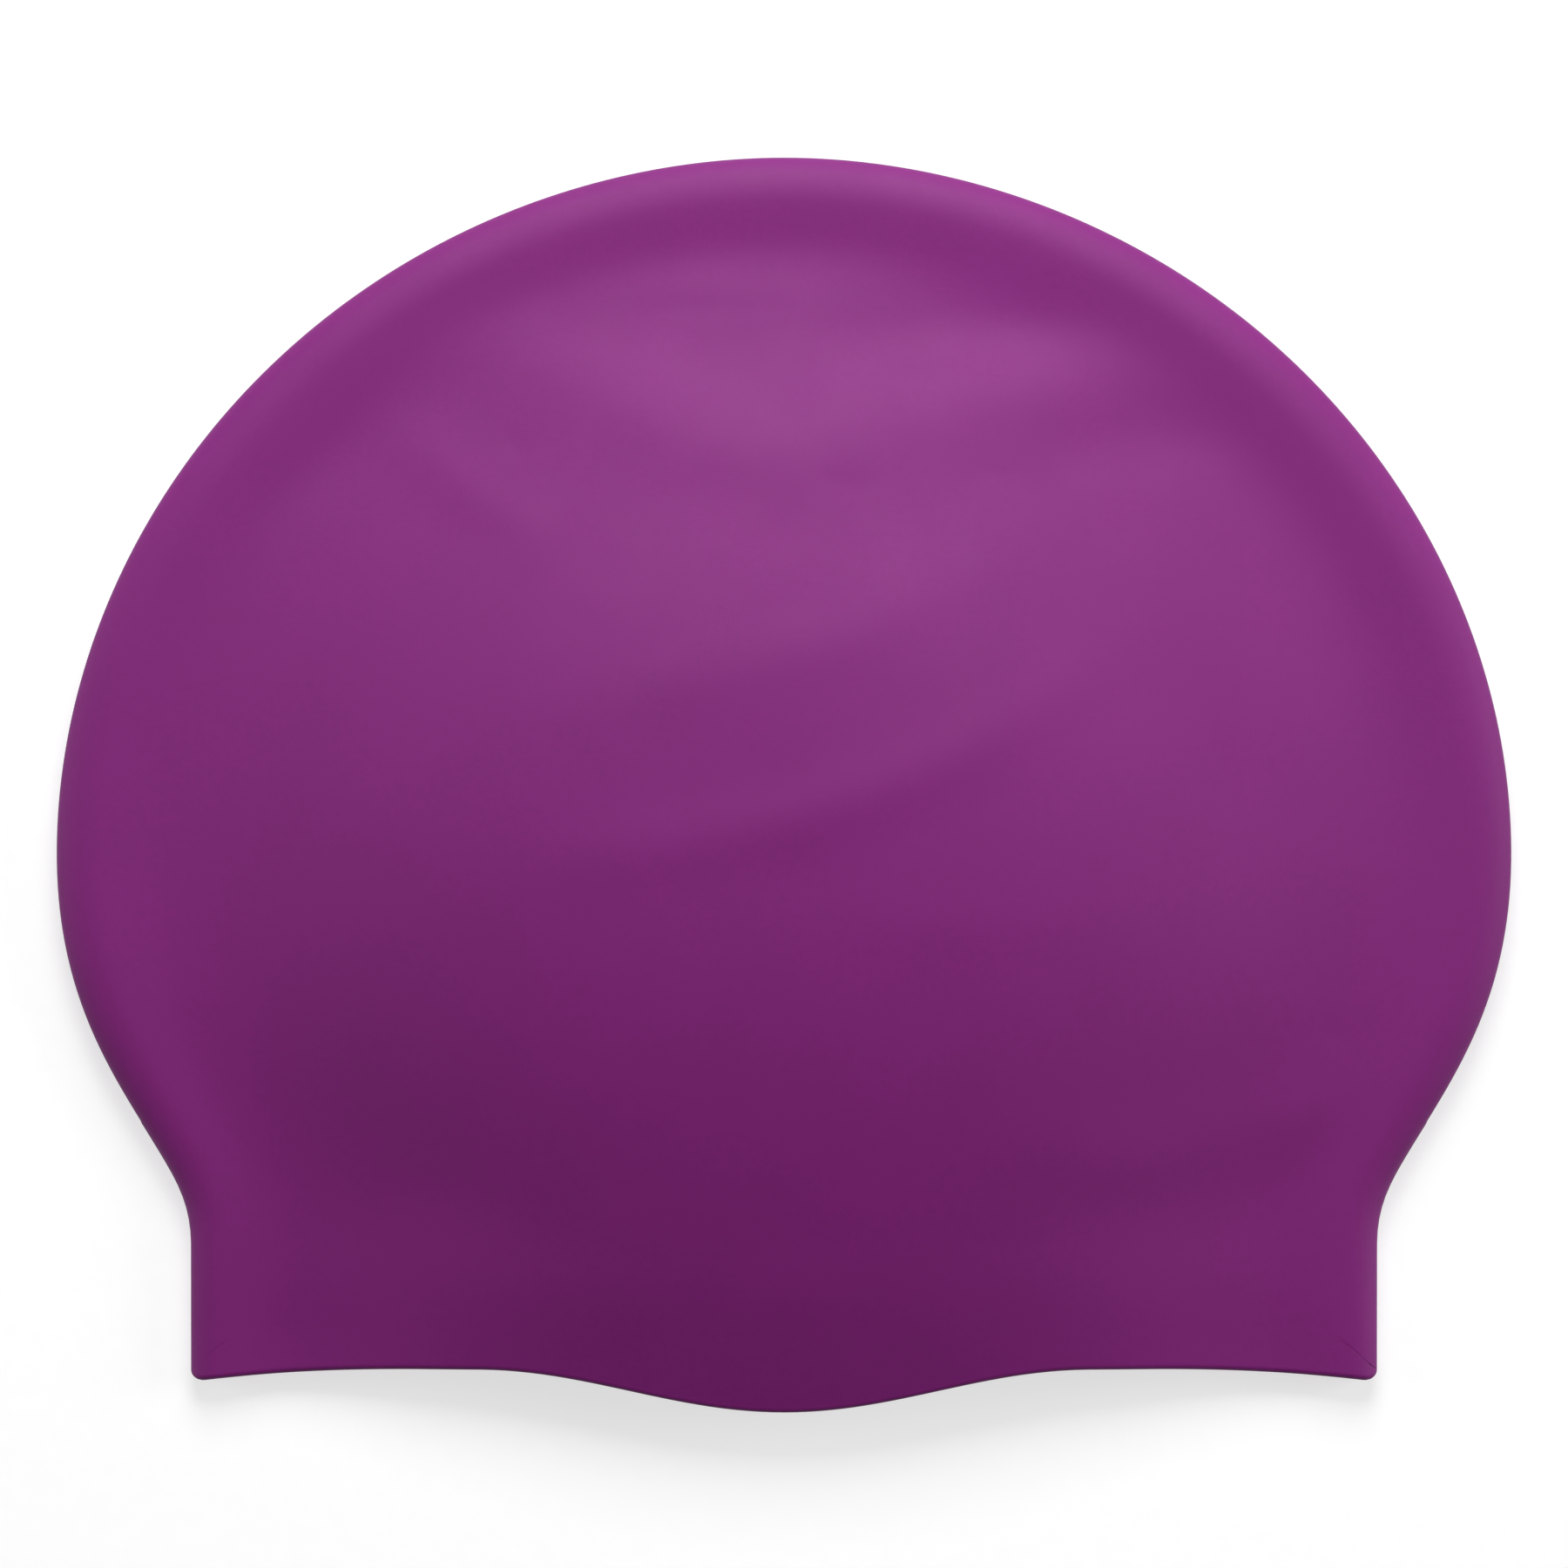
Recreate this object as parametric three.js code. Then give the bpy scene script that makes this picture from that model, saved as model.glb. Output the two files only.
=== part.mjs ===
import * as THREE from "three";

// A moulded silicone swim cap, lying on one side wall as it is laid out flat on a table.
// Millimetres. X runs across the cap, Y from the open rim up to the crown, and Z up from the
// surface that it lies on. The origin is on that surface, under the middle of the cap's outline.

// Outline, seen from above
const capWidth = 220; // across the widest line of the dome
const domeRise = 105.2; // from the widest line up to the crown
const domeExponent = 1.97; // 2 would be a true ellipse
const neckWidth = 179.4; // across the waist above the rim
const waistDrop = 59.3; // from the widest line down to the waist
const rimDrop = 77.8; // from the widest line down to the arches of the rim
const lobeDrop = 6.4; // how far the lobe in the middle of the rim hangs below the arches
const lobeWidth = 92; // width of that lobe where it leaves the arches
const archSpan = 110; // between the highest points of the two arches
const cornerDrop = 2; // how far the rim falls from an arch to the side fold
const cornerRun = 2; // the rim's rounded corner at the side fold, across
const cornerRise = 1; // and up

// Wall and lip
const wall = 1;
const lipWidth = 2; // the band along the rim that is thicker than the wall
const lipThickness = 1.5;
const lipStep = 0.8; // the run over which the lip thins to the wall

// How the walls stand off the surface
const foldRise = 3.5; // half the height of the rounded fold that joins the two walls, round the dome
const foldRun = 7; // how far that rounding reaches in from the outline
const mouthFoldRise = 2.5; // the same two at the rim
const mouthFoldRun = 4;
const bulgeHeight = 17; // the upper wall's rise over the fold, at the middle of the dome
const bulgeReach = 0.89; // the share of the way out to the outline at which that rise ends
const bulgeFlatness = 3.35; // more is flatter in the middle and steeper near the fold
const mouthRise = 6; // what is left of that rise at the middle of the rim
const slopeTurn = 0.9; // how soon the upper wall's fall to the mouth turns into a straight slope
const softFoldFade = 12; // the run in from the fold's rounding over which the soft folds come in

// The side of the cap between the widest line and the waist, as points of two cubic curves.
// across is a share of the step from the dome to the neck, down is a share of waistDrop.
const flankPoints = [
  { across: 0, down: 0 },
  { across: 0, down: 0.4 },
  { across: 0.5, down: 0.6 },
  { across: 0.835, down: 0.8 },
  { across: 0.958, down: 0.873 },
  { across: 1, down: 0.93 },
  { across: 1, down: 1 },
];

// Soft folds of the upper wall. Each is a low ridge, or a dent where its height is negative, along a
// curved crest. Places and width are shares: x and width of half the cap's width, y of domeRise above
// the widest line. height is a share of bulgeHeight.
const softFolds = [
  {
    name: "crown ridge",
    width: 0.08,
    height: 0.068,
    crest: [[-0.49, 0.755], [-0.36, 0.7], [-0.18, 0.63], [0, 0.575], [0.11, 0.605], [0.29, 0.66], [0.58, 0.705]],
  },
  { name: "crown swell", width: 0.05, height: 0.03, crest: [[-0.31, 0.795], [0, 0.805], [0.145, 0.805]] },
  { name: "crown dent", width: 0.055, height: -0.032, crest: [[0.055, 0.735], [0.2, 0.735], [0.36, 0.745]] },
  { name: "right pocket", width: 0.055, height: -0.03, crest: [[0.36, 0.575], [0.47, 0.595], [0.58, 0.575]] },
  { name: "left pocket", width: 0.065, height: -0.024, crest: [[-0.71, 0.5], [-0.61, 0.575], [-0.51, 0.65]] },
  { name: "shoulder swell", width: 0.09, height: 0.032, crest: [[0.455, 0.46], [0.6, 0.32], [0.71, 0.12]] },
  { name: "upper arc", width: 0.055, height: 0.015, crest: [[-0.27, 0.235], [0.09, 0.31], [0.31, 0.44]] },
  { name: "lower arc", width: 0.055, height: 0.024, crest: [[-0.31, -0.015], [0, 0.045], [0.18, 0.11], [0.435, 0.29]] },
  { name: "right neck swell", width: 0.055, height: 0.02, crest: [[0.58, -0.405], [0.75, -0.37], [0.87, -0.31]] },
];

// How finely the skins are divided
const foldColumns = 32; // along the fold, from a corner of the rim to the crown
const rimColumns = 26; // along the rim between the two side folds
const foldSteps = 5; // round a quarter of the fold
const bandRings = 2; // from the fold's rounding to where the rise over it ends
const innerRings = 12; // from there to the middle of the upper wall
const crestSteps = 40; // along a soft fold's crest

// Places that follow from the sizes
const halfWidth = capWidth / 2;
const halfNeck = neckWidth / 2;
const widestY = (rimDrop + lobeDrop - domeRise) / 2;
const archY = widestY - rimDrop;
const middle = new THREE.Vector2(0, widestY);
const neckCarryOn = capWidth / 4; // how far the neck's sides are carried on below the rim's arches
const measuringSteps = 400; // short straight pieces that the fold line is measured with

const clamp01 = (value) => Math.min(1, Math.max(0, value));
const smooth = (value) => clamp01(value) ** 2 * (3 - 2 * clamp01(value));

// The rim's edge, as a height in Y at a distance x from the middle.
function rimY(x) {
  const side = Math.abs(x);
  const lobe = side < lobeWidth / 2 ? Math.cos((Math.PI * x) / lobeWidth) ** 2 : 0;
  const fall = Math.max(0, (side - archSpan / 2) / (halfNeck - archSpan / 2)) ** 2;
  const intoCorner = clamp01((side - halfNeck + cornerRun) / cornerRun);
  const rounding = cornerRise * (1 - Math.sqrt(1 - intoCorner ** 2));
  return archY - lobeDrop * lobe - cornerDrop * fall + rounding;
}

// The dome's side of the outline, from the widest line up to the crown.
class DomeCurve extends THREE.Curve {
  getPoint(t, target = new THREE.Vector2()) {
    const angle = (t * Math.PI) / 2;
    const across = Math.max(0, Math.cos(angle)) ** (2 / domeExponent);
    const up = Math.sin(angle) ** (2 / domeExponent);
    return target.set(halfWidth * across, widestY + domeRise * up);
  }
}

// The right half of the fold line, from a height in the neck up to the crown.
function foldLine(startY) {
  const step = halfWidth - halfNeck;
  const points = flankPoints.map(
    ({ across, down }) => new THREE.Vector2(halfWidth - step * across, widestY - waistDrop * down),
  );
  points.reverse();
  const line = new THREE.CurvePath();
  line.add(new THREE.LineCurve(new THREE.Vector2(halfNeck, startY), points[0]));
  line.add(new THREE.CubicBezierCurve(...points.slice(0, 4)));
  line.add(new THREE.CubicBezierCurve(...points.slice(3)));
  line.add(new DomeCurve());
  return line;
}

// The fold line carried on below the rim, as short straight pieces, for measuring distances to it.
const measuringLine = foldLine(archY - neckCarryOn).getSpacedPoints(measuringSteps);

// How far a point lies inside the fold line, or 0 where it is on the line or just outside it.
function insideBy(x, y) {
  let nearest = Infinity;
  let isInside = false;
  for (let i = 1; i < measuringLine.length; i += 1) {
    const from = measuringLine[i - 1];
    const run = measuringLine[i].clone().sub(from);
    const offset = new THREE.Vector2(Math.abs(x), y).sub(from);
    const along = clamp01(offset.dot(run) / run.lengthSq());
    const distance = offset.clone().addScaledVector(run, -along).length();
    if (distance < nearest) {
      nearest = distance;
      isInside = run.cross(offset) > 0;
    }
  }
  return isInside ? nearest : 0;
}

// Half the cap's width at a height in Y, below the widest line.
function halfWidthAt(y) {
  const index = measuringLine.findIndex((point) => point.y >= y);
  const from = measuringLine[index - 1];
  const to = measuringLine[index];
  return from.x + ((to.x - from.x) * (y - from.y)) / (to.y - from.y);
}

// The share of the fall to the mouth at a height in Y. It starts level at the widest line and turns
// into a straight slope.
function fall(y) {
  const slope = (down) => Math.hypot(1, slopeTurn * down) - 1;
  return slope(Math.max(0, widestY - y) / rimDrop) / slope(1);
}

const foldRiseAt = (y) => foldRise - (foldRise - mouthFoldRise) * fall(y);
const foldRunAt = (y) => foldRun - (foldRun - mouthFoldRun) * fall(y);

// The share of its full rise that the wall has, at a reach of 0 in the middle to 1 at the fold line.
// It starts level at bulgeReach, is steepest a little way in, and is level again in the middle.
function pillow(reach) {
  const held = Math.min(1, reach / bulgeReach);
  return 1 - held ** bulgeFlatness * (1 + bulgeFlatness * (1 - held));
}

// The rise of the upper wall over the fold: a rounded pillow over the dome that runs down to the mouth.
function bulge(x, y) {
  if (y > widestY) {
    const across = (Math.abs(x) / halfWidth) ** domeExponent;
    const up = ((y - widestY) / domeRise) ** domeExponent;
    return bulgeHeight * pillow((across + up) ** (1 / domeExponent));
  }
  const crest = bulgeHeight - (bulgeHeight - mouthRise) * fall(y);
  return crest * pillow(Math.abs(x) / halfWidthAt(y));
}

// The soft folds' crests, as closely spaced points.
const crestLines = softFolds.map(({ crest }) => {
  const points = crest.map(([x, y]) => new THREE.Vector2(x * halfWidth, widestY + y * domeRise));
  return new THREE.SplineCurve(points).getSpacedPoints(crestSteps);
});

// The height that the soft folds add at a point. Each fold tapers off along its crest.
function softFoldHeight(x, y) {
  const place = new THREE.Vector2(x, y);
  let sum = 0;
  softFolds.forEach((fold, index) => {
    const shares = crestLines[index].map((point, i) => {
      const taper = Math.sin((Math.PI * (i + 0.5)) / (crestSteps + 1));
      const away = place.distanceTo(point) / (fold.width * halfWidth);
      return taper * Math.exp(-(away ** 2));
    });
    sum += fold.height * bulgeHeight * Math.max(...shares);
  });
  return sum;
}

// How high the fold's rounded section stands above or below its middle.
function foldRound(inside, y) {
  const across = clamp01(1 - inside / foldRunAt(y));
  return foldRiseAt(y) * Math.sqrt(1 - across ** 2);
}

// Heights of the outer skin of the two walls.
function upperHeight(x, y) {
  const inside = insideBy(x, y);
  const softFolded = smooth((inside - foldRunAt(y)) / softFoldFade) * softFoldHeight(x, y);
  return foldRiseAt(y) + foldRound(inside, y) + bulge(x, y) + softFolded;
}

function lowerHeight(x, y) {
  return foldRiseAt(y) - foldRound(insideBy(x, y), y);
}

// The points of the outline that the skins' columns start from: up the right side of the fold, down
// the left, and back along the rim.
function columnStarts() {
  const cornerY = rimY(halfNeck);
  const lipLine = [0, lipWidth, lipWidth + lipStep].map(
    (up) => new THREE.Vector2(halfNeck, cornerY + up),
  );
  const right = foldLine(cornerY + lipWidth + lipStep).getSpacedPoints(foldColumns).slice(1);
  const rightSide = [...lipLine, ...right];
  const leftSide = rightSide.slice(0, -1).reverse();
  const starts = rightSide.map((point) => ({ point, onRim: false }));
  leftSide.forEach((point) => {
    starts.push({ point: new THREE.Vector2(-point.x, point.y), onRim: false });
  });
  const cornerRunIn = foldRunIn(cornerY).slice(1).map((run) => halfNeck - run);
  cornerRunIn.forEach((x) => starts.push(rimStart(-x)));
  for (let i = 1; i < rimColumns; i += 1) {
    starts.push(rimStart(cornerRunIn[foldSteps - 1] * ((2 * i) / rimColumns - 1)));
  }
  cornerRunIn.reverse().forEach((x) => starts.push(rimStart(x)));
  return starts;
}

// Distances in from the fold line that divide a quarter of the fold's rounded section.
function foldRunIn(y) {
  const runs = [];
  for (let i = 0; i <= foldSteps; i += 1) {
    runs.push(foldRunAt(y) * (1 - Math.cos((Math.PI / 2) * (i / foldSteps))));
  }
  return runs;
}

function rimStart(x) {
  return { point: new THREE.Vector2(x, rimY(x)), onRim: true };
}

// How far the outer rings lie inside the outline: round the fold, or over the lip, and on to where
// the rise over the fold ends.
function ringDistances(point, onRim) {
  const overLip = [0, lipWidth / 2, lipWidth, lipWidth + lipStep];
  const roundFold = foldRunIn(point.y);
  const distances = onRim ? overLip : [...roundFold];
  const last = distances[distances.length - 1];
  const missing = roundFold.length + bandRings - distances.length;
  const bandEdge = (1 - bulgeReach) * halfWidth;
  for (let i = 1; i <= missing; i += 1) {
    distances.push(last + ((bandEdge - last) * i) / missing);
  }
  return distances;
}

// The plan positions of a skin's points, a list for each column from the outline towards the middle.
// The lower wall is flat past the first ring of the band, and needs no more.
function planColumns(isUpper) {
  return columnStarts().map(({ point, onRim }) => {
    const ray = middle.clone().sub(point);
    const length = ray.length();
    ray.normalize();
    const distances = ringDistances(point, onRim);
    const edge = distances[distances.length - 1];
    for (let i = 1; i < innerRings; i += 1) {
      distances.push(edge + ((length - edge) * i) / innerRings);
    }
    const kept = isUpper ? distances : distances.slice(0, foldSteps + 2);
    return kept.map((distance) => point.clone().addScaledVector(ray, distance));
  });
}

// Adds one wall's outer skin to the lists of points and faces. The lower skin shares the fold line's
// points with the upper one.
function addSkin(skin, columns, heightAt, isUpper) {
  const indexAt = columns.map((column) => column.map(({ x, y }) => {
    const point = new THREE.Vector3(x, y, heightAt(x, y));
    const key = [point.x, point.y, point.z].map((value) => value.toFixed(4)).join(" ");
    if (!skin.indexOf.has(key)) {
      skin.indexOf.set(key, skin.points.length);
      skin.points.push(point);
    }
    return skin.indexOf.get(key);
  }));
  const centre = skin.points.length;
  skin.points.push(new THREE.Vector3(middle.x, middle.y, heightAt(middle.x, middle.y)));
  const addFace = (a, b, c) => skin.faces.push(isUpper ? [a, b, c] : [a, c, b]);
  indexAt.forEach((here, i) => {
    const next = indexAt[(i + 1) % indexAt.length];
    for (let j = 0; j + 1 < here.length; j += 1) {
      addFace(here[j], next[j], next[j + 1]);
      addFace(here[j], next[j + 1], here[j + 1]);
    }
    addFace(here[here.length - 1], next[next.length - 1], centre);
  });
}

// The edges of the skin that only one face uses, which are the rim's, in the faces' own direction.
function openEdges(faces) {
  const edges = new Map();
  for (const face of faces) {
    face.forEach((from, k) => {
      const to = face[(k + 1) % 3];
      if (!edges.delete(`${to} ${from}`)) {
        edges.set(`${from} ${to}`, [from, to]);
      }
    });
  }
  return [...edges.values()];
}

// The outer skin's normals, worked out from its faces and kept level along the rim.
function skinNormals(skin, rimEdges) {
  const geometry = new THREE.BufferGeometry().setFromPoints(skin.points);
  geometry.setIndex(skin.faces.flat());
  geometry.computeVertexNormals();
  const attribute = geometry.getAttribute("normal");
  const normals = skin.points.map((_, i) => new THREE.Vector3().fromBufferAttribute(attribute, i));
  for (const [from] of rimEdges) {
    normals[from].setY(0).normalize();
  }
  return normals;
}

// How much of the lip's thickening a point has: all of it along the rim, none above the lip.
function lipShare(point) {
  return 1 - smooth((point.y - rimY(point.x) - lipWidth) / lipStep);
}

function capGeometry() {
  const skin = { points: [], faces: [], indexOf: new Map() };
  addSkin(skin, planColumns(true), upperHeight, true);
  addSkin(skin, planColumns(false), lowerHeight, false);

  // The lip thickens to the inside, so the outer skin runs on smoothly to the rim.
  const rimEdges = openEdges(skin.faces);
  const normals = skinNormals(skin, rimEdges);
  const inner = skin.points.map((point, i) => {
    const thickness = wall + (lipThickness - wall) * lipShare(point);
    return point.clone().addScaledVector(normals[i], -thickness);
  });

  const count = skin.points.length;
  const faces = [...skin.faces];
  skin.faces.forEach(([a, b, c]) => faces.push([a + count, c + count, b + count]));
  rimEdges.forEach(([from, to]) => {
    faces.push([to, from, from + count], [to, from + count, to + count]);
  });

  const geometry = new THREE.BufferGeometry().setFromPoints([...skin.points, ...inner]);
  geometry.setIndex(faces.flat());
  return geometry;
}

const silicone = new THREE.MeshStandardMaterial({ color: "#85327b", roughness: 0.5, metalness: 0 });

const cap = new THREE.Mesh(capGeometry(), silicone);
cap.name = "cap";

const swimCap = new THREE.Group();
swimCap.add(cap);

export default swimCap;
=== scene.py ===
"""A moulded silicone swim cap, laid flat on one side wall on a pale floor and seen from above."""

import math

import bmesh
import bpy
import numpy as np
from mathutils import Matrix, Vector
from mathutils.geometry import delaunay_2d_cdt


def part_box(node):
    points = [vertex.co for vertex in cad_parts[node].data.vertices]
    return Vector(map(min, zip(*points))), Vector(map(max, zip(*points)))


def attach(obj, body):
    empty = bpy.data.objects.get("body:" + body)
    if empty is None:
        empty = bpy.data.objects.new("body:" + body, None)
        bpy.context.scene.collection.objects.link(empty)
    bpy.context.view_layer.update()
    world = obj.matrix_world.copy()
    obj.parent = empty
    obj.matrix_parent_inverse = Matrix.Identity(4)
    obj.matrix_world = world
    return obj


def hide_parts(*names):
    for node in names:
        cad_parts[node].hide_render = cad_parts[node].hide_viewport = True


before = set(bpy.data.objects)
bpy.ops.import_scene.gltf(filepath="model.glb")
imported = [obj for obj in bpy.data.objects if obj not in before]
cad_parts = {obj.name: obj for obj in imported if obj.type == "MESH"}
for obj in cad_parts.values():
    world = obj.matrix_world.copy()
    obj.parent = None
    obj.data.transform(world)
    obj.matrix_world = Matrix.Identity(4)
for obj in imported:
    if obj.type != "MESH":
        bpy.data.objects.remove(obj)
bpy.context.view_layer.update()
cap_low, cap_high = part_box("cap")

MM = 0.001

# The cap's outline from above, in metres
HALF_WIDTH = (cap_high[0] - cap_low[0]) / 2
CROWN_Y = cap_high[1]
DOME_RISE = 105.2 * MM
DOME_EXPONENT = 1.97
WIDEST_Y = CROWN_Y - DOME_RISE
HALF_NECK = 89.7 * MM
WAIST_DROP = 59.3 * MM
ARCH_Y = WIDEST_Y - 77.8 * MM
LOBE_DROP = 6.4 * MM
LOBE_WIDTH = 92 * MM
HALF_ARCH_SPAN = 55 * MM
CORNER_DROP = 2 * MM
CORNER_RUN = 2 * MM
CORNER_RISE = 1 * MM

# Wall and lip
WALL = 1 * MM
LIP_WIDTH = 2 * MM
LIP_THICKNESS = 1.5 * MM
LIP_STEP = 0.8 * MM
LIP_ROUND_STEPS = 8

# How the walls stand off the floor
FOLD_RISE = 3.5 * MM
FOLD_RUN = 7 * MM
MOUTH_FOLD_RISE = 2.5 * MM
MOUTH_FOLD_RUN = 4 * MM
BULGE_HEIGHT = 17 * MM
BULGE_REACH = 0.89
BULGE_FLATNESS = 3.1
MOUTH_RISE = 6 * MM
SLOPE_TURN = 0.9
SOFT_FOLD_FADE = 12 * MM

# The shallow hollow beside the fold, round the crown
HOLLOW_DEPTH = 0.6 * MM
HOLLOW_PLACE = 17 * MM
HOLLOW_WIDTH = 8 * MM
HOLLOW_LEAN = 0.35
HOLLOW_START = 0.1

# The side between the widest line and the waist, as the points of two cubic curves: shares of the
# step from dome to neck, and of WAIST_DROP
FLANK = ((0, 0), (0, 0.4), (0.5, 0.6), (0.835, 0.8), (0.958, 0.873), (1, 0.93), (1, 1))

# Soft folds of the upper wall: width and height, then points along the crest, all in millimetres
# on the plan. A fold with a height below nothing is a dent.
SOFT_FOLDS = (
    (9.0, 1.15, ((-54, 70), (-40, 65), (-20, 56), (0, 50), (10, 53), (32, 59), (60, 64))),
    (5.5, 0.50, ((-34, 73), (-14, 74), (4, 74), (16, 74))),
    (6.0, -0.75, ((6, 67), (22, 67), (44, 68))),
    (6.0, -0.50, ((40, 50), (52, 52), (64, 50))),
    (7.0, -0.40, ((-78, 42), (-67, 50), (-56, 58))),
    (4.5, 0.30, ((-60, 55), (-52, 48), (-44, 42), (-36, 37))),
    (10.0, 0.55, ((50, 38), (62, 28), (72, 14), (78, 2))),
    (5.5, 0.26, ((-34, 12), (-12, 16), (10, 22), (24, 29), (38, 38))),
    (5.5, 0.46, ((-36, -12), (-18, -9), (0, -6), (20, 1), (36, 10), (52, 22))),
    (5.0, 0.10, ((4, -21), (26, -21), (52, -21))),
    (6.0, 0.35, ((64, -53), (76, -51), (88, -48), (96, -43))),
    (7.0, 0.30, ((38, -56), (54, -57), (68, -55))),
    (6.0, 0.12, ((-84, -76), (0, -77), (84, -76))),
    (18.0, -1.20, ((-88, -90), (-74, -90))),
    (18.0, -0.80, ((74, -90), (88, -90))),
)

# Short creases pressed into the upper wall, in millimetres on the plan
# Columns: x1, y1, x2, y2, depth
CREASES = (
    (-43.0, 53.0, -38.5, 49.5, 0.09),
    (28.0, 47.5, 36.0, 45.5, 0.10),
    (5.0, 46.5, 14.0, 43.5, 0.10),
    (-24.0, 71.5, 2.0, 72.0, 0.10),
    (81.0, -36.0, 85.5, -39.5, 0.08),
)
CREASE_WIDTH = 1.7 * MM

# The wall tree's number inputs by label. The wander is the moulded sheet's slow unevenness.
WALL_INPUTS = {
    "Wall": WALL,
    "Lip thickness": LIP_THICKNESS,
    "Lip width": LIP_WIDTH,
    "Lip step": LIP_STEP,
    "Crease width": CREASE_WIDTH,
    "Wander height": 0.12 * MM,
    "Wander length": 26 * MM,
    "Wander seed": 4.0,
}

# How finely the skins are divided
SIDE_SPACING = 1.8 * MM
CORNER_COLUMNS = 8
FOLD_RINGS = 12
LIP_RING_CROWDING = 1.2
BAND_WIDTH = 10 * MM
BAND_RINGS = 8
UPPER_RINGS = FOLD_RINGS + 1 + BAND_RINGS
INNER_SPACING = 1.25 * MM
LOWER_RINGS = FOLD_RINGS + 3
FLOOR_SIDE_SPACING = 6 * MM
WELD_DISTANCE = 0.002 * MM
MERGE_DISTANCE = 0.01 * MM

# How finely the lines that shape the skins are followed
DOME_POINTS = 400
SHOULDER_POINTS = 120
WAIST_POINTS = 60
MEASURING_POINTS = 900
CREST_POINTS = 90
CREASE_POINTS = 9

# The silicone's colour at the two ends of its mottle, and its roughness
DEEP_PURPLE = (0.174, 0.0055, 0.149, 1)
PALE_PURPLE = (0.194, 0.0070, 0.165, 1)
ROUGHNESS = (0.645, 0.665)

# The floor's tone and its glow from below, and the room's glow
FLOOR_TONE = (0.36, 0.38)
FLOOR_GLOW = 0.68
ROOM_GLOW = 0.03

# Soft boxes aimed at the cap. Columns: name, place, size in metres, power in watts
SOFT_BOXES = (
    ("key_box", (0.02, 0.62, 0.55), 0.5, 8.55),
    ("right_box", (0.9, 0.1, 0.4), 0.4, 4.2),
    ("left_box", (-0.9, 0.1, 0.4), 0.4, 2.2),
)

# The photograph's frame: pixels across, and the cap's width in them
FRAME_PIXELS = 1800
CAP_PIXELS = 1670
CAMERA_HEIGHT = 1.5
SENSOR_WIDTH = 36


def clamp01(value):
    return np.clip(value, 0, 1)


def smooth(value):
    held = clamp01(value)
    return held * held * (3 - 2 * held)


def rim_y(x):
    """The edge of the rim: a lobe in the middle, an arch each side and a rounded corner."""
    side = np.abs(x)
    lobe = np.where(side < LOBE_WIDTH / 2, np.cos(np.pi * x / LOBE_WIDTH) ** 2, 0)
    fall = np.maximum(0, (side - HALF_ARCH_SPAN) / (HALF_NECK - HALF_ARCH_SPAN)) ** 2
    into_corner = clamp01((side - HALF_NECK + CORNER_RUN) / CORNER_RUN)
    rounding = CORNER_RISE * (1 - np.sqrt(1 - into_corner**2))
    return ARCH_Y - LOBE_DROP * lobe - CORNER_DROP * fall + rounding


def cubic(points, steps):
    """Points along a cubic curve."""
    t = np.linspace(0, 1, steps)[:, None]
    a, b, c, d = (np.array(point) for point in points)
    return (1 - t) ** 3 * a + 3 * (1 - t) ** 2 * t * b + 3 * (1 - t) * t**2 * c + t**3 * d


def fold_line(start_y):
    """The right half of the fold line, finely, from a height in the neck up to the crown."""
    step = HALF_WIDTH - HALF_NECK
    flank = [(HALF_WIDTH - step * across, WIDEST_Y - WAIST_DROP * down) for across, down in FLANK]
    flank.reverse()
    angle = np.linspace(0, np.pi / 2, DOME_POINTS)
    dome = np.column_stack(
        (
            HALF_WIDTH * np.maximum(0, np.cos(angle)) ** (2 / DOME_EXPONENT),
            WIDEST_Y + DOME_RISE * np.sin(angle) ** (2 / DOME_EXPONENT),
        )
    )
    neck = [(HALF_NECK, start_y)]
    waist = cubic(flank[:4], WAIST_POINTS)
    shoulder = cubic(flank[3:], SHOULDER_POINTS)
    return np.vstack((neck, waist, shoulder[1:], dome[1:]))


def evenly(line, count):
    """A line's points moved to even distances along it."""
    run = np.concatenate(([0], np.cumsum(np.linalg.norm(np.diff(line, axis=0), axis=1))))
    places = np.linspace(0, run[-1], count)
    return np.column_stack([np.interp(places, run, line[:, axis]) for axis in (0, 1)])


MEASURING_LINE = evenly(fold_line(ARCH_Y - HALF_WIDTH / 2), MEASURING_POINTS)


def inside_by(x, y):
    """How far points lie inside the fold line, and 0 for those on it."""
    start = MEASURING_LINE[:-1]
    run = np.diff(MEASURING_LINE, axis=0)
    length2 = (run**2).sum(axis=1)
    found = []
    for points in np.array_split(np.column_stack((np.abs(x), y)), max(1, len(x) // 2000)):
        offset = points[:, None, :] - start[None]
        along = clamp01((offset * run).sum(axis=2) / length2)
        away = np.linalg.norm(offset - along[..., None] * run, axis=2)
        nearest = away.argmin(axis=1)
        rows = np.arange(len(points))
        near_offset = offset[rows, nearest]
        near_run = run[nearest]
        turn = near_run[:, 0] * near_offset[:, 1] - near_run[:, 1] * near_offset[:, 0]
        found.append(np.where(turn > 0, away[rows, nearest], 0))
    return np.concatenate(found)


def fall(y):
    """The share of the fall to the mouth at a height in Y: it starts level and turns into a slope."""
    down = np.maximum(0, WIDEST_Y - y) / (WIDEST_Y - ARCH_Y)
    return (np.hypot(1, SLOPE_TURN * down) - 1) / (math.hypot(1, SLOPE_TURN) - 1)


def fold_rise(y):
    """Half the height of the fold's rounded section, which is less towards the mouth."""
    return FOLD_RISE - (FOLD_RISE - MOUTH_FOLD_RISE) * fall(y)


def fold_run(y):
    """The width of the fold's rounded section, which is less towards the mouth."""
    return FOLD_RUN - (FOLD_RUN - MOUTH_FOLD_RUN) * fall(y)


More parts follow.
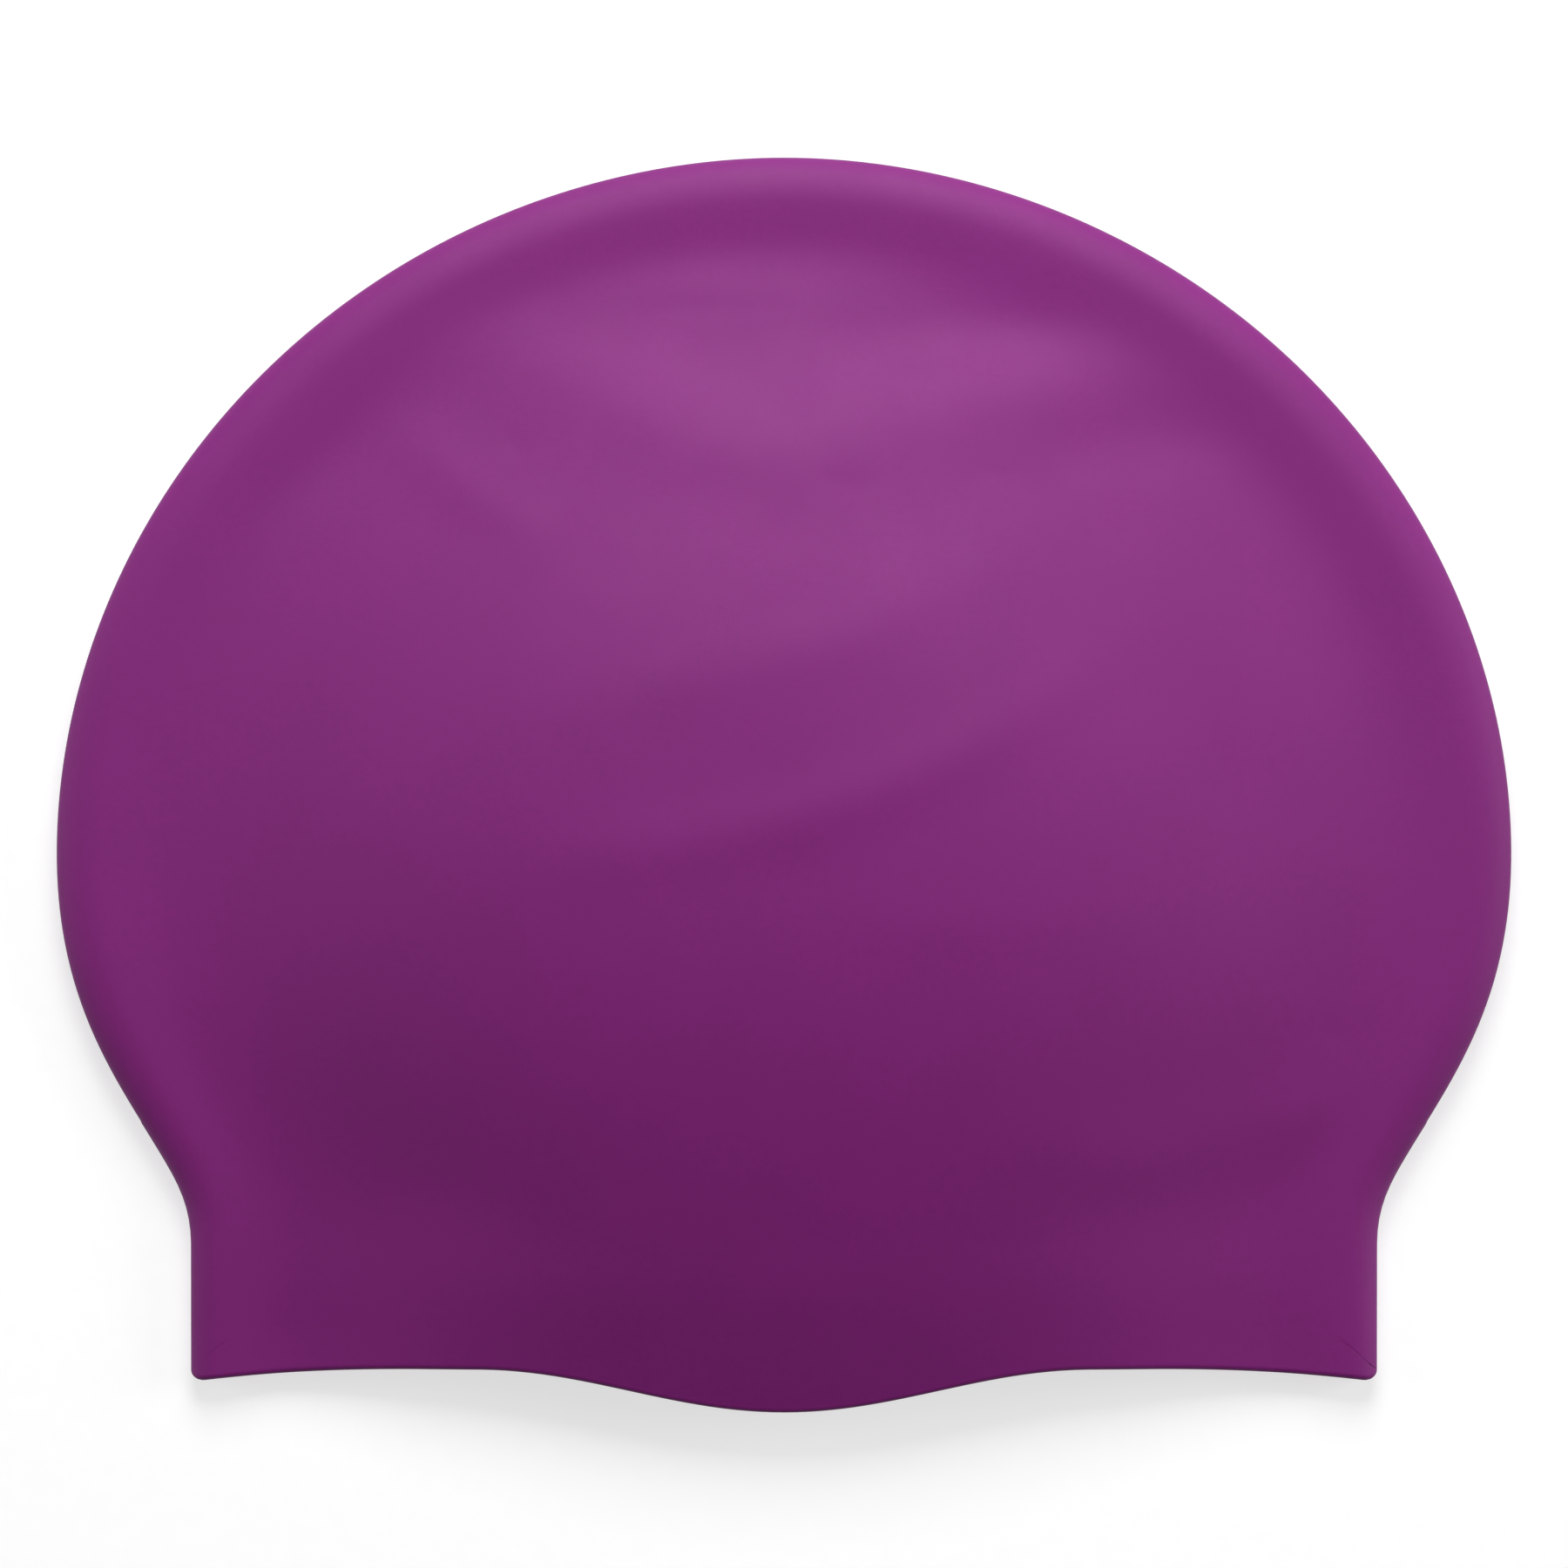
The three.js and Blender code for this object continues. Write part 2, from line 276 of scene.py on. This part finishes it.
def pillow(reach):
    """The share of its rise that the upper wall has: none near the fold line, all in the middle."""
    held = np.minimum(1, reach / BULGE_REACH)
    return 1 - held**BULGE_FLATNESS * (1 + BULGE_FLATNESS * (1 - held))


def bulge(x, y):
    """The upper wall's rise over the fold: a pillow over the dome that runs down to the mouth."""
    up = np.maximum(0, y - WIDEST_Y) / DOME_RISE
    across = np.abs(x) / HALF_WIDTH
    dome_reach = (across**DOME_EXPONENT + up**DOME_EXPONENT) ** (1 / DOME_EXPONENT)
    crest = BULGE_HEIGHT - (BULGE_HEIGHT - MOUTH_RISE) * fall(y)
    half_width = np.interp(y, MEASURING_LINE[:, 1], MEASURING_LINE[:, 0])
    below = crest * pillow(np.abs(x) / half_width)
    return np.where(y > WIDEST_Y, BULGE_HEIGHT * pillow(dome_reach), below)


def rounded_path(points, rounds=3):
    """A path with its corners cut again and again, its ends kept."""
    path = np.array(points, float)
    for _ in range(rounds):
        start, end = path[:-1], path[1:]
        cut = np.stack((0.75 * start + 0.25 * end, 0.25 * start + 0.75 * end), axis=1)
        path = np.vstack((path[:1], cut.reshape(-1, 2)[1:-1], path[-1:]))
    return path


def soft_fold_height(x, y):
    """The folds' heights together, each fold tapering off along its crest."""
    total = np.zeros(len(x))
    points = np.column_stack((x, y))
    for width, height, crest in SOFT_FOLDS:
        path = evenly(rounded_path(crest), CREST_POINTS) * MM
        offset = points[:, None, :] - path[None]
        away = np.linalg.norm(offset, axis=2)
        taper = np.sin(np.linspace(0.03, 0.97, len(path)) * np.pi) ** 0.8
        share = (taper * np.exp(-((away / (width * MM)) ** 2))).max(axis=1)
        total += height * MM * share
    return total


def fold_round(y, inside):
    """How high the fold's round section stands above or below its middle."""
    across = clamp01(1 - inside / fold_run(y))
    return fold_rise(y) * np.sqrt(1 - across**2)


def crown_hollow(x, y, inside):
    """How deep the wall sinks beside the fold, round the crown and most on its right."""
    share = smooth((y - WIDEST_Y) / DOME_RISE + HOLLOW_LEAN * x / HALF_WIDTH + HOLLOW_START)
    near = np.exp(-(((inside - HOLLOW_PLACE) / HOLLOW_WIDTH) ** 2))
    return HOLLOW_DEPTH * near * share * smooth(inside / fold_run(y))


def upper_height(x, y, inside):
    folded = smooth((inside - fold_run(y)) / SOFT_FOLD_FADE) * soft_fold_height(x, y)
    return fold_rise(y) + fold_round(y, inside) + bulge(x, y) + folded - crown_hollow(x, y, inside)


def lower_height(x, y, inside):
    return fold_rise(y) - fold_round(y, inside)


def fold_run_in(y):
    """Distances in from the fold line, at heights in Y, that divide the fold's quarter round evenly."""
    angle = np.linspace(0, np.pi / 2, FOLD_RINGS + 1)
    return np.reshape(fold_run(y), (-1, 1)) * (1 - np.cos(angle))


def skin_edge_y(x):
    """Where the skin ends below the lip, short of the rim by the lip's rounding."""
    return rim_y(x) + LIP_THICKNESS / 2


def column_starts():
    """Plan points round the outline, up the right, down the left and back along the rim."""
    corner_y = float(skin_edge_y(np.array([HALF_NECK]))[0])
    lip_run = LIP_WIDTH + LIP_STEP
    ups = np.linspace(0, lip_run, CORNER_COLUMNS + 1)[:-1]
    corner = np.column_stack((np.full(CORNER_COLUMNS, HALF_NECK), corner_y + ups))
    line = fold_line(corner_y + lip_run)
    length = np.linalg.norm(np.diff(line, axis=0), axis=1).sum()
    right = np.vstack((corner, evenly(line, int(length / SIDE_SPACING))))
    left = right[-2::-1] * (-1, 1)
    run_in = HALF_NECK - fold_run_in(corner_y)[0, 1:]
    middle_count = int(2 * run_in[-1] / SIDE_SPACING)
    middle = np.linspace(-run_in[-1], run_in[-1], middle_count)[1:-1]
    rim_x = np.concatenate((-run_in, middle, run_in[::-1]))
    rim = np.column_stack((rim_x, skin_edge_y(rim_x)))
    on_rim = np.arange(len(right) + len(left) + len(rim)) >= len(right) + len(left)
    return np.vstack((right, left, rim)), on_rim


def ring_distances(starts, on_rim):
    """How far the rings lie inside the outline: round the fold or over the lip, then a flat band."""
    round_fold = fold_run_in(starts[:, 1])
    over_lip = FOLD_RUN * np.linspace(0, 1, FOLD_RINGS + 1) ** LIP_RING_CROWDING
    edge = np.where(on_rim[:, None], over_lip, round_fold)
    left_over = FOLD_RUN + BAND_WIDTH - edge[:, -1:]
    band = edge[:, -1:] + left_over * np.arange(1, BAND_RINGS + 1) / BAND_RINGS
    return np.hstack((edge, band))


def band_points(rings):
    """Plan points of the band inside the outline, columns by rings."""
    starts, on_rim = column_starts()
    toward = np.array((0, WIDEST_Y)) - starts
    toward /= np.linalg.norm(toward, axis=1)[:, None]
    distances = ring_distances(starts, on_rim)[:, :rings]
    return starts[:, None, :] + toward[:, None, :] * distances[..., None]


def inner_points(edge, spacing):
    """Plan points in a honeycomb layout, well inside a closed edge."""
    low, high = edge.min(axis=0), edge.max(axis=0)
    rows = np.arange(low[1], high[1], spacing * math.sqrt(0.75))
    columns = np.arange(low[0], high[0], spacing)
    x, y = np.meshgrid(columns, rows)
    x = x + np.where(np.arange(len(rows)) % 2, spacing / 2, 0)[:, None]
    x, y = x.ravel(), y.ravel()
    next_edge = np.roll(edge, -1, axis=0)
    inside = np.zeros(len(x), bool)
    for (x1, y1), (x2, y2) in zip(edge, next_edge):
        crosses = (y1 > y) != (y2 > y)
        if y1 != y2:
            inside ^= crosses & (x < (x2 - x1) * (y - y1) / (y2 - y1) + x1)
    points = np.column_stack((x, y))[inside]
    gap = np.full(len(points), np.inf)
    for corner in edge:
        gap = np.minimum(gap, np.linalg.norm(points - corner, axis=1))
    return points[gap > spacing * 0.7]


def skin_of(height_of, rings, spacing, upwards):
    """One wall's skin: its points, its faces, and each point's distance inside the fold line."""
    band = band_points(rings)
    columns = len(band)
    flat_band = band.reshape(-1, 2)
    edge = band[:, -1]
    extra = inner_points(edge, spacing)
    ring = [(i, (i + 1) % columns) for i in range(columns)]
    filling = [Vector(point) for point in np.vstack((edge, extra))]
    placed, _, triangles, origins, _, _ = delaunay_2d_cdt(filling, ring, [], 1, 1e-7)
    edge_index = [i * rings + rings - 1 for i in range(columns)]
    index_of = []
    points = [tuple(point) for point in flat_band]
    for point, origin in zip(placed, origins):
        if origin and origin[0] < columns:
            index_of.append(edge_index[origin[0]])
        else:
            index_of.append(len(points))
            points.append(tuple(point))
    faces = []
    for i in range(columns):
        here, there = i * rings, ((i + 1) % columns) * rings
        for j in range(rings - 1):
            faces.append((here + j, there + j, there + j + 1, here + j + 1))
    for triangle in triangles:
        a, b, c = (index_of[corner] for corner in triangle)
        faces.append((a, b, c))
    if not upwards:
        faces = [face[::-1] for face in faces]
    plan = np.array(points)
    inside = inside_by(plan[:, 0], plan[:, 1])
    height = height_of(plan[:, 0], plan[:, 1], inside)
    return np.column_stack((plan, height)), faces, inside


def cap_skin():
    """The cap's outer skin as an open mesh, with what the wall tree reads from it."""
    upper = skin_of(upper_height, UPPER_RINGS, INNER_SPACING, True)
    lower = skin_of(lower_height, LOWER_RINGS, FLOOR_SIDE_SPACING, False)
    count = len(upper[0])
    points = np.vstack((upper[0], lower[0]))
    faces = upper[1] + [tuple(corner + count for corner in face) for face in lower[1]]
    mesh = bpy.data.meshes.new("cap_skin")
    mesh.from_pydata(points.tolist(), [], faces)
    for name, values in (
        ("rim_distance", points[:, 1] - skin_edge_y(points[:, 0])),
        ("fold_distance", np.concatenate((upper[2], lower[2]))),
    ):
        attribute = mesh.attributes.new(name, "FLOAT", "POINT")
        attribute.data.foreach_set("value", values.astype(np.float32))
    weld = bmesh.new()
    weld.from_mesh(mesh)
    bmesh.ops.remove_doubles(weld, verts=weld.verts, dist=WELD_DISTANCE)
    weld.to_mesh(mesh)
    weld.free()
    mesh.shade_smooth()
    skin = bpy.data.objects.new("cap_skin", mesh)
    bpy.context.scene.collection.objects.link(skin)
    return skin


def crease_lines():
    """The creases' middle lines over the plan, as loose edges that carry their depth."""
    points, edges, depths = [], [], []
    for x1, y1, x2, y2, depth in CREASES:
        plan = evenly(np.array(((x1, y1), (x2, y2))) * MM, CREASE_POINTS)
        x, y = plan[:, 0], plan[:, 1]
        height = upper_height(x, y, inside_by(x, y))
        taper = np.sin(np.linspace(0, np.pi, len(plan))) ** 0.5
        edges += [(len(points) + i, len(points) + i + 1) for i in range(len(plan) - 1)]
        points += np.column_stack((plan, height)).tolist()
        depths += (taper * depth * MM).tolist()
    mesh = bpy.data.meshes.new("crease_lines")
    mesh.from_pydata(points, edges, [])
    attribute = mesh.attributes.new("depth", "FLOAT", "POINT")
    attribute.data.foreach_set("value", np.array(depths, np.float32))
    lines = bpy.data.objects.new("crease_lines", mesh)
    bpy.context.scene.collection.objects.link(lines)
    return lines


class Tree:
    """A node tree under construction."""

    def __init__(self, tree):
        self.tree = tree

    def add(self, kind, values=None, **settings):
        node = self.tree.nodes.new(kind)
        for name, value in settings.items():
            setattr(node, name, value)
        for name, value in (values or {}).items():
            self.feed(node.inputs[name], value)
        return node

    def feed(self, socket, value):
        if isinstance(value, bpy.types.NodeSocket):
            self.tree.links.new(value, socket)
        else:
            socket.default_value = value

    def math(self, operation, *values):
        node = self.add("ShaderNodeMath", operation=operation)
        for socket, value in zip(node.inputs, values):
            self.feed(socket, value)
        return node.outputs[0]

    def vector(self, operation, *values):
        node = self.add("ShaderNodeVectorMath", operation=operation)
        for socket, value in zip(node.inputs, values):
            self.feed(socket, value)
        return node.outputs[0]

    def scaled(self, vector, scale):
        return self.add("ShaderNodeVectorMath", {0: vector, "Scale": scale}, operation="SCALE").outputs[0]

    def ramp(self, value, low, high, low_result=0.0, high_result=1.0):
        """A smooth step of a value between two of its sizes."""
        return self.add(
            "ShaderNodeMapRange",
            {0: value, 1: low, 2: high, 3: low_result, 4: high_result},
            interpolation_type="SMOOTHSTEP",
        ).outputs[0]

    def noise(self, place, scale, detail):
        """A noise pattern with a scale in repeats a metre."""
        values = {"Vector": place, "Scale": scale, "Detail": detail}
        return self.add("ShaderNodeTexNoise", values).outputs[0]


def named_number(tree, name):
    return tree.add("GeometryNodeInputNamedAttribute", {"Name": name}, data_type="FLOAT").outputs[0]


def named_vector(tree, name):
    node = tree.add("GeometryNodeInputNamedAttribute", {"Name": name}, data_type="FLOAT_VECTOR")
    return node.outputs[0]


def kept(tree, geometry, name, value, data_type):
    """The geometry with a value stored on its points under a name."""
    return tree.add(
        "GeometryNodeStoreNamedAttribute",
        {"Geometry": geometry, "Name": name, "Value": value},
        data_type=data_type,
        domain="POINT",
    ).outputs[0]


def wall_tree(silicone, creases):
    """Gives the open skin its wall: creases, a slow wander, a thicker lip and the lip's rounded edge,
    carried round from the outer skin to the inner one."""
    group = bpy.data.node_groups.new("cap_wall", "GeometryNodeTree")
    tree = Tree(group)
    group.interface.new_socket("Skin", in_out="INPUT", socket_type="NodeSocketGeometry")
    for label, value in WALL_INPUTS.items():
        socket = group.interface.new_socket(label, in_out="INPUT", socket_type="NodeSocketFloat")
        socket.default_value = value
    group.interface.new_socket("Creases", in_out="INPUT", socket_type="NodeSocketObject")
    group.interface.new_socket("Cap", in_out="OUTPUT", socket_type="NodeSocketGeometry")
    given = tree.add("NodeGroupInput").outputs

    # Normals lie level over the lip, so that the rim is cut square to the floor
    rim_distance = named_number(tree, "rim_distance")
    normal = tree.add("GeometryNodeInputNormal").outputs[0]
    level = tree.ramp(rim_distance, 0.0, given["Lip width"])
    keep_level = tree.add("ShaderNodeCombineXYZ", {"X": 1.0, "Y": level, "Z": 1.0}).outputs[0]
    normal = tree.vector("NORMALIZE", tree.vector("MULTIPLY", normal, keep_level))
    skin = kept(tree, given["Skin"], "wall_normal", normal, "FLOAT_VECTOR")
    normal = named_vector(tree, "wall_normal")
    normal_z = tree.add("ShaderNodeSeparateXYZ", {0: normal}).outputs["Z"]

    # Thickness, which grows over the lip, to the inside only
    lip_end = tree.math("ADD", given["Lip width"], given["Lip step"])
    lip_share = tree.ramp(rim_distance, given["Lip width"], lip_end, 1.0, 0.0)
    lip_extra = tree.math("SUBTRACT", given["Lip thickness"], given["Wall"])
    extra = tree.math("MULTIPLY", lip_extra, lip_share)
    skin = kept(tree, skin, "wall_thickness", tree.math("ADD", given["Wall"], extra), "FLOAT")
    thickness = named_number(tree, "wall_thickness")

    # Creases: a dent round the nearest crease line, as deep as that line says
    crease_geometry = tree.add("GeometryNodeObjectInfo", {"Object": given["Creases"]}).outputs["Geometry"]
    near = tree.add(
        "GeometryNodeProximity", {0: crease_geometry}, target_element="EDGES"
    ).outputs["Distance"]
    nearest = tree.add("GeometryNodeSampleNearest", {"Geometry": crease_geometry}).outputs[0]
    depth = tree.add(
        "GeometryNodeSampleIndex",
        {"Geometry": crease_geometry, "Value": named_number(tree, "depth"), "Index": nearest},
        data_type="FLOAT",
    ).outputs[0]
    share = tree.math("DIVIDE", near, given["Crease width"])
    dent_shape = tree.math("EXPONENT", tree.math("MULTIPLY", tree.math("POWER", share, 2.0), -1.0))
    dent = tree.math("MULTIPLY", depth, dent_shape)

    # Slow wander of the moulded sheet, on the upper wall alone and clear of the fold
    noise = tree.add(
        "ShaderNodeTexNoise",
        {
            "Vector": tree.add("GeometryNodeInputPosition").outputs[0],
            "W": given["Wander seed"],
            "Scale": tree.math("DIVIDE", 1.0, given["Wander length"]),
            "Detail": 1.5,
        },
        noise_dimensions="4D",
    ).outputs[0]
    swing = tree.math("MULTIPLY_ADD", noise, 2.0, -1.0)
    clear_of_fold = tree.ramp(named_number(tree, "fold_distance"), FOLD_RUN, 4 * FOLD_RUN)
    wander = tree.math("MULTIPLY", tree.math("MULTIPLY", swing, given["Wander height"]), clear_of_fold)
    relief = tree.math("MULTIPLY", tree.math("SUBTRACT", wander, dent), tree.ramp(normal_z, 0.2, 0.8))

    # The two skins
    skin = kept(tree, skin, "outward", relief, "FLOAT")
    outward = named_number(tree, "outward")
    outer = tree.add(
        "GeometryNodeSetPosition", {"Geometry": skin, "Offset": tree.scaled(normal, outward)}
    ).outputs[0]
    inward = tree.math("SUBTRACT", outward, thickness)
    inner = tree.add(
        "GeometryNodeSetPosition", {"Geometry": skin, "Offset": tree.scaled(normal, inward)}
    ).outputs[0]
    inner = tree.add("GeometryNodeFlipFaces", {"Mesh": inner}).outputs[0]

    # The rim's rounded edge, carried from the outer skin to the inner one in short steps
    neighbours = tree.add("GeometryNodeInputMeshEdgeNeighbors").outputs[0]
    chosen = tree.add("FunctionNodeCompare", data_type="INT", operation="EQUAL")
    tree.feed(chosen.inputs[2], neighbours)
    chosen.inputs[3].default_value = 1
    edge = chosen.outputs[0]
    walls = outer
    for step in range(LIP_ROUND_STEPS):
        before = math.pi * step / LIP_ROUND_STEPS
        after = math.pi * (step + 1) / LIP_ROUND_STEPS
        through = tree.scaled(normal, (math.cos(after) - math.cos(before)) / 2)
        rim_out = (0.0, (math.sin(before) - math.sin(after)) / 2, 0.0)
        move = tree.scaled(tree.vector("ADD", through, rim_out), thickness)
        extruded = tree.add(
            "GeometryNodeExtrudeMesh",
            {"Mesh": walls, "Selection": edge, "Offset": move, "Offset Scale": 1.0},
            mode="EDGES",
        )
        walls = extruded.outputs["Mesh"]
        edge = extruded.outputs["Top"]

    join = tree.add("GeometryNodeJoinGeometry")
    tree.feed(join.inputs[0], walls)
    tree.feed(join.inputs[0], inner)
    merged = tree.add(
        "GeometryNodeMergeByDistance", {"Geometry": join.outputs[0], "Distance": MERGE_DISTANCE}
    ).outputs[0]
    for name in ("wall_normal", "wall_thickness", "outward"):
        merged = tree.add("GeometryNodeRemoveAttribute", {"Geometry": merged, "Name": name}).outputs[0]
    real = tree.add("GeometryNodeRealizeInstances", {"Geometry": merged}).outputs[0]
    finished = tree.add("GeometryNodeSetMaterial", {"Geometry": real, "Material": silicone}).outputs[0]
    tree.feed(tree.add("NodeGroupOutput").inputs[0], finished)
    return group


def set_inputs(modifier, values):
    """Sets a tree modifier's inputs, found by label and set by the sockets' own identifiers."""
    for item in modifier.node_group.interface.items_tree:
        if item.item_type == "SOCKET" and item.in_out == "INPUT" and item.name in values:
            modifier[item.identifier] = values[item.name]


def make_cap(silicone):
    """The whole cap as one closed mesh at the origin."""
    skin = cap_skin()
    creases = crease_lines()
    modifier = skin.modifiers.new("wall", "NODES")
    modifier.node_group = wall_tree(silicone, creases)
    set_inputs(modifier, WALL_INPUTS | {"Creases": creases})
    evaluated = skin.evaluated_get(bpy.context.evaluated_depsgraph_get())
    mesh = bpy.data.meshes.new_from_object(evaluated)
    mesh.name = "swim_cap"
    skin.modifiers.remove(modifier)
    for helper in (skin, creases):
        bpy.data.objects.remove(helper)
    faces = bmesh.new()
    faces.from_mesh(mesh)
    bmesh.ops.recalc_face_normals(faces, faces=faces.faces)
    faces.to_mesh(mesh)
    faces.free()
    mesh.shade_smooth()
    cap = bpy.data.objects.new("swim_cap", mesh)
    bpy.context.scene.collection.objects.link(cap)
    return cap


def new_material(name):
    """A node material with its surface shader, and the tree to add to."""
    material = bpy.data.materials.new(name)
    material.use_nodes = True
    return material, Tree(material.node_tree), material.node_tree.nodes["Principled BSDF"]


def silicone_finish():
    """Dyed silicone rubber off a matted mould: satin, faintly mottled, with a fine bloom."""
    material, tree, surface = new_material("purple_silicone")
    place = tree.add("ShaderNodeTexCoord").outputs["Object"]
    mottle = tree.noise(place, 900.0, 3.0)
    drift = tree.noise(place, 45.0, 2.0)
    shade = tree.math("MULTIPLY_ADD", mottle, 0.5, 0.0)
    shade = tree.math("MULTIPLY_ADD", drift, 0.5, shade)
    colour = tree.add("ShaderNodeValToRGB", {"Fac": shade})
    stops = colour.color_ramp.elements
    stops[0].position, stops[0].color = 0.3, DEEP_PURPLE
    stops[1].position, stops[1].color = 0.7, PALE_PURPLE
    tree.feed(surface.inputs["Base Color"], colour.outputs[0])
    bloom = tree.noise(place, 160.0, 4.0)
    tree.feed(surface.inputs["Roughness"], tree.ramp(bloom, 0.3, 0.7, *ROUGHNESS))
    surface.inputs["IOR"].default_value = 1.42
    grain = tree.noise(place, 1900.0, 2.0)
    bump = tree.add("ShaderNodeBump", {"Height": grain, "Strength": 0.25, "Distance": 0.05 * MM})
    tree.feed(surface.inputs["Normal"], bump.outputs[0])
    return material


def floor_finish():
    """A matt pale sheet lit from below, as on a light table, so that shadows stay pale."""
    material, tree, surface = new_material("light_table")
    place = tree.add("ShaderNodeTexCoord").outputs["Object"]
    tone = tree.ramp(tree.noise(place, 400.0, 2.0), 0.2, 0.8, *FLOOR_TONE)
    white = tree.add("ShaderNodeCombineColor", {0: tone, 1: tone, 2: tone}).outputs[0]
    tree.feed(surface.inputs["Base Color"], white)
    surface.inputs["Roughness"].default_value = 0.9
    surface.inputs["Specular IOR Level"].default_value = 0.1
    surface.inputs["Emission Color"].default_value = (1, 1, 1, 1)
    surface.inputs["Emission Strength"].default_value = FLOOR_GLOW
    return material


def lay_floor():
    half = 4.0
    mesh = bpy.data.meshes.new("floor")
    corners = [(-half, -half), (half, -half), (half, half), (-half, half)]
    below = cap_low[2] - 0.2 * MM
    mesh.from_pydata([(x, y, below) for x, y in corners], [], [(0, 1, 2, 3)])
    mesh.materials.append(floor_finish())
    floor = bpy.data.objects.new("floor", mesh)
    bpy.context.scene.collection.objects.link(floor)
    return floor


def soft_light(name, place, size, power):
    """A square soft box at a place, aimed at the cap."""
    light = bpy.data.lights.new(name, "AREA")
    light.shape = "SQUARE"
    light.size = size
    light.energy = power
    box = bpy.data.objects.new(name, light)
    box.location = place
    box.rotation_euler = (-Vector(place)).to_track_quat("-Z", "Y").to_euler()
    bpy.context.scene.collection.objects.link(box)


def light_scene():
    for name, place, size, power in SOFT_BOXES:
        soft_light(name, place, size, power)
    world = bpy.data.worlds.new("room")
    world.use_nodes = True
    background = world.node_tree.nodes["Background"]
    background.inputs["Color"].default_value = (1, 1, 1, 1)
    background.inputs["Strength"].default_value = ROOM_GLOW
    bpy.context.scene.world = world
    bpy.context.scene.view_settings.view_transform = "Standard"


def set_camera():
    """Straight down on the cap, with the photograph's frame at the height of the fold."""
    frame_width = 2 * HALF_WIDTH * FRAME_PIXELS / CAP_PIXELS
    camera = bpy.data.cameras.new("camera")
    camera.sensor_width = SENSOR_WIDTH
    camera.lens = SENSOR_WIDTH * CAMERA_HEIGHT / frame_width
    holder = bpy.data.objects.new("camera", camera)
    holder.location = (0, 0, FOLD_RISE + CAMERA_HEIGHT)
    bpy.context.scene.collection.objects.link(holder)
    bpy.context.scene.camera = holder


cap = make_cap(silicone_finish())
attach(cap, "root")
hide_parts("cap")
lay_floor()
light_scene()
set_camera()
